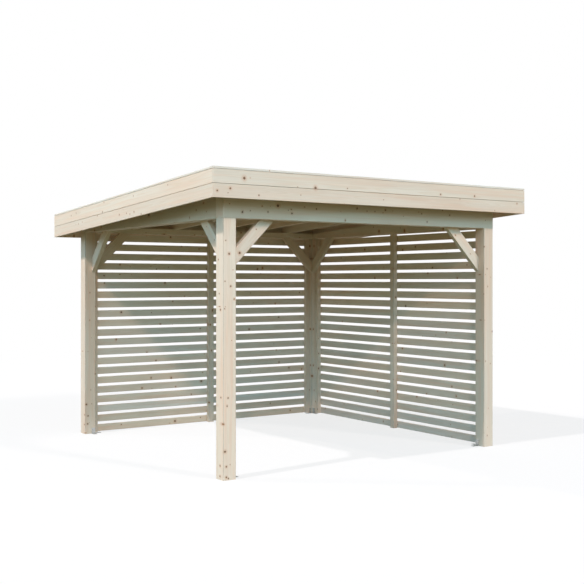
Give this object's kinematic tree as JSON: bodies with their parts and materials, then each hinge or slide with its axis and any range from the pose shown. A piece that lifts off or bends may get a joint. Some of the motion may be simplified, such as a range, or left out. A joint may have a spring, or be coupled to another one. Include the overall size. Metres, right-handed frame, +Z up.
{
  "type": "garden pavilion",
  "caption": "Square open timber pavilion: corner posts with knee braces, slatted back and right walls, lean roof on rafters behind a boarded fascia.",
  "frame": {"origin": "on the ground, in the middle of the square of posts", "axes": "+X to the right-hand wall, +Y to the back wall, +Z up; the open sides face -Y and -X, the roof falls towards +Y"},
  "size_m": [3.42, 3.42, 2.4815],
  "materials": {
    "frame_timber": "planed, untreated spruce",
    "fascia_boards": "planed, untreated spruce",
    "slats": "planed, untreated spruce",
    "roof_boards": "planed, untreated spruce",
    "rafters": "planed, untreated spruce",
    "trim_strips": "planed, untreated spruce",
    "galvanised_steel": "galvanised sheet"
  },
  "bodies": {
    "root": {"front_left_post": "frame_timber", "front_right_post": "frame_timber", "back_left_post": "frame_timber", "back_right_post": "frame_timber", "front_beam": "frame_timber", "back_beam": "frame_timber", "left_beam": "frame_timber", "right_beam": "frame_timber", "front_braces": "frame_timber", "back_braces": "frame_timber", "left_braces": "frame_timber", "right_brace": "frame_timber", "rafters": "rafters", "closing_boards": "roof_boards", "roof_boards": "roof_boards", "front_fascia": "fascia_boards", "back_fascia": "fascia_boards", "left_fascia": "fascia_boards", "right_fascia": "fascia_boards", "front_trim": "trim_strips", "back_trim": "trim_strips", "left_trim": "trim_strips", "right_trim": "trim_strips", "back_slats": "slats", "right_slats": "slats", "back_battens": "frame_timber", "right_battens": "frame_timber", "back_mid_post": "frame_timber", "right_mid_post": "frame_timber", "front_left_brackets": "galvanised_steel", "front_right_brackets": "galvanised_steel", "back_left_brackets": "galvanised_steel", "back_right_brackets": "galvanised_steel"}
  },
  "joints": []
}
